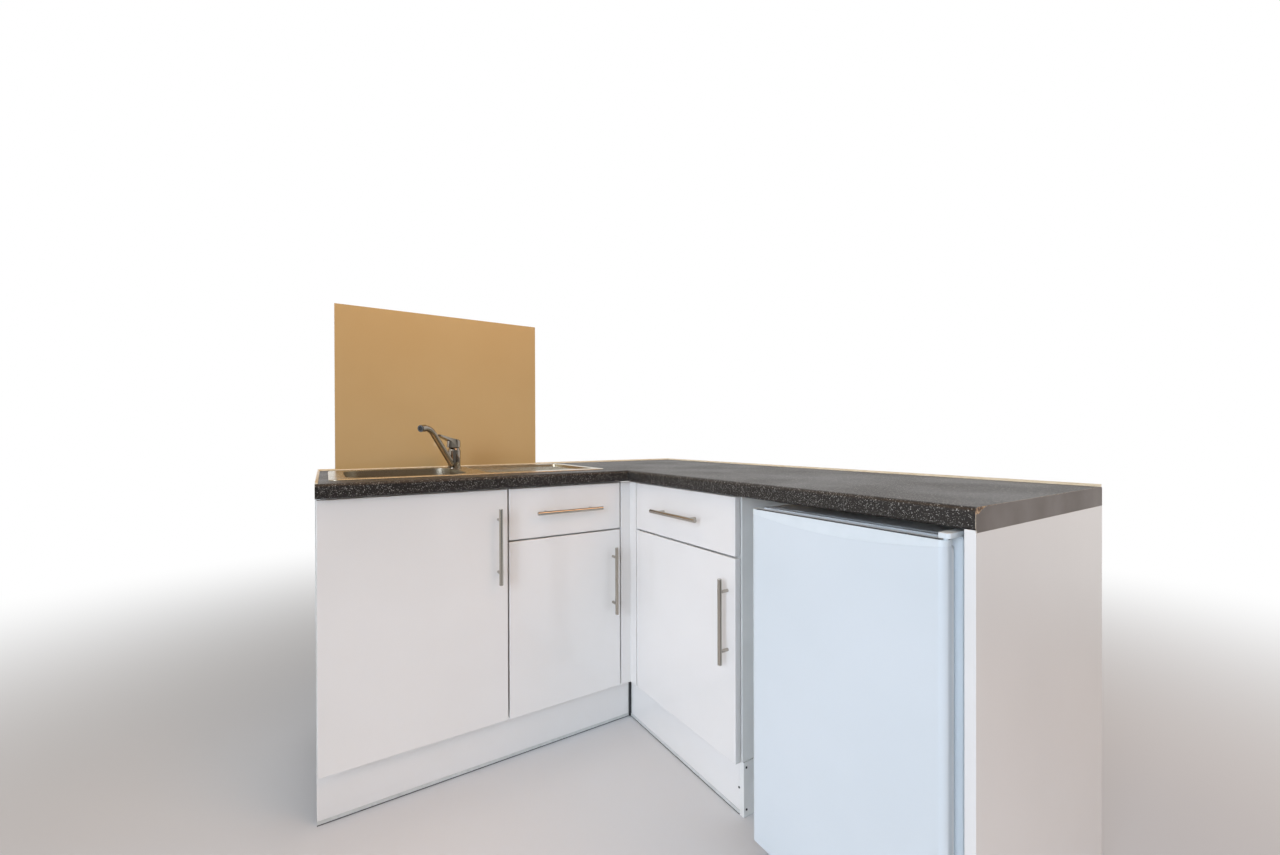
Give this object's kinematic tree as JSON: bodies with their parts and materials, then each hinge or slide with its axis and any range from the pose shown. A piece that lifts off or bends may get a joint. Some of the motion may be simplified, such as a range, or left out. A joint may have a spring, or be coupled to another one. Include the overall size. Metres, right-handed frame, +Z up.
{
  "type": "corner kitchenette",
  "caption": "L-shaped corner kitchenette: gloss base units and drawers under speckled worktops, inset sink and tap, glass splashback, under-counter fridge in a bay.",
  "frame": {"origin": "middle of the L's overall footprint, on the floor", "axes": "+X to the right along the back wall, +Y towards the back wall, +Z up; the back run's fronts face -Y and the side run's face -X"},
  "size_m": [1.52, 1.705, 1.508],
  "materials": {
    "worktop_laminate": "satin",
    "worktop_edging": "satin",
    "splashback_glass": "gloss",
    "sink_steel": "brushed",
    "tap_chrome": "polished",
    "unit_board": "satin",
    "leg_plastic": "matte",
    "hinge_steel": "plated",
    "front_gloss": "gloss",
    "seal_plastic": "matte",
    "handle_steel": "brushed",
    "fridge_enamel": "gloss",
    "fridge_lining": "gloss",
    "shelf_glass": "clear",
    "compressor_enamel": "satin"
  },
  "bodies": {
    "root": {"worktop_left": "worktop_laminate", "worktop_right": "worktop_laminate", "worktop_end_strip": "worktop_edging", "splashback": "splashback_glass", "sink": "sink_steel", "sink_bowl": "sink_steel", "sink_waste": "sink_steel", "tap_base": "tap_chrome", "sink_unit_sides": "unit_board", "left_unit_sides": "unit_board", "right_unit_sides": "unit_board", "unit_bases": "unit_board", "unit_backs": "unit_board", "unit_rails": "unit_board", "unit_shelves": "unit_board", "unit_legs": "leg_plastic", "hinge_arms": "hinge_steel", "drawer_rails": "hinge_steel", "left_plinth": "front_gloss", "right_plinth": "front_gloss", "plinth_return": "unit_board", "plinth_seals": "seal_plastic", "corner_post": "front_gloss", "end_panel": "front_gloss", "fridge_cabinet": "fridge_enamel", "fridge_shelves": "shelf_glass", "fridge_feet": "leg_plastic", "fridge_hinges": "fridge_enamel", "fridge_compressor": "compressor_enamel"},
    "sink_door": {"sink_door": "front_gloss", "sink_door_handle": "handle_steel", "sink_door_cups": "hinge_steel"},
    "left_door": {"left_door": "front_gloss", "left_door_handle": "handle_steel", "left_door_cups": "hinge_steel"},
    "left_drawer": {"left_drawer_front": "front_gloss", "left_drawer_handle": "handle_steel", "left_drawer_box": "unit_board", "left_drawer_runners": "hinge_steel"},
    "right_door": {"right_door": "front_gloss", "right_door_handle": "handle_steel", "right_door_cups": "hinge_steel"},
    "right_drawer": {"right_drawer_front": "front_gloss", "right_drawer_handle": "handle_steel", "right_drawer_box": "unit_board", "right_drawer_runners": "hinge_steel"},
    "fridge_door": {"fridge_door": "fridge_enamel", "fridge_door_seal": "seal_plastic", "fridge_door_liner": "fridge_lining", "fridge_door_racks": "fridge_lining"},
    "tap_spout": {"tap_spout": "tap_chrome"},
    "tap_ball": {"tap_ball": "tap_chrome"},
    "tap_lever": {"tap_lever": "tap_chrome"}
  },
  "joints": [
    {"name": "sink_door_hinge", "type": "hinge", "parent": "root", "child": "sink_door", "pos_m": [-0.7575, 0.2725, 0.5], "axis": [0, 0, -1], "range_deg": [0, 95]},
    {"name": "left_door_hinge", "type": "hinge", "parent": "root", "child": "left_door", "pos_m": [-0.2575, 0.2725, 0.4], "axis": [0, 0, -1], "range_deg": [0, 95]},
    {"name": "left_drawer_slide", "type": "slide", "parent": "root", "child": "left_drawer", "axis": [0, -1, 0], "range_m": [0, 0.4]},
    {"name": "right_door_hinge", "type": "hinge", "parent": "root", "child": "right_door", "pos_m": [0.18, 0.23, 0.4], "axis": [0, 0, 1], "range_deg": [-85, 0]},
    {"name": "right_drawer_slide", "type": "slide", "parent": "root", "child": "right_drawer", "axis": [1, 0, 0], "range_m": [-0.4, 0]},
    {"name": "fridge_door_hinge", "type": "hinge", "parent": "root", "child": "fridge_door", "pos_m": [0.146, -0.8125, 0.45], "axis": [0, 0, -1], "range_deg": [-110, 0]},
    {"name": "tap_spout_swivel", "type": "hinge", "parent": "root", "child": "tap_spout", "pos_m": [-0.325, 0.7235, 0.932], "axis": [0, 0, 1], "range_deg": [-60, 120]},
    {"name": "tap_mix_turn", "type": "hinge", "parent": "root", "child": "tap_ball", "pos_m": [-0.325, 0.7235, 0.975], "axis": [0, 0, 1], "range_deg": [-45, 45]},
    {"name": "tap_flow_lift", "type": "hinge", "parent": "tap_ball", "child": "tap_lever", "pos_m": [-0.325, 0.7235, 0.975], "axis": [-0.7071, 0.7071, 0], "range_deg": [0, 22]}
  ]
}
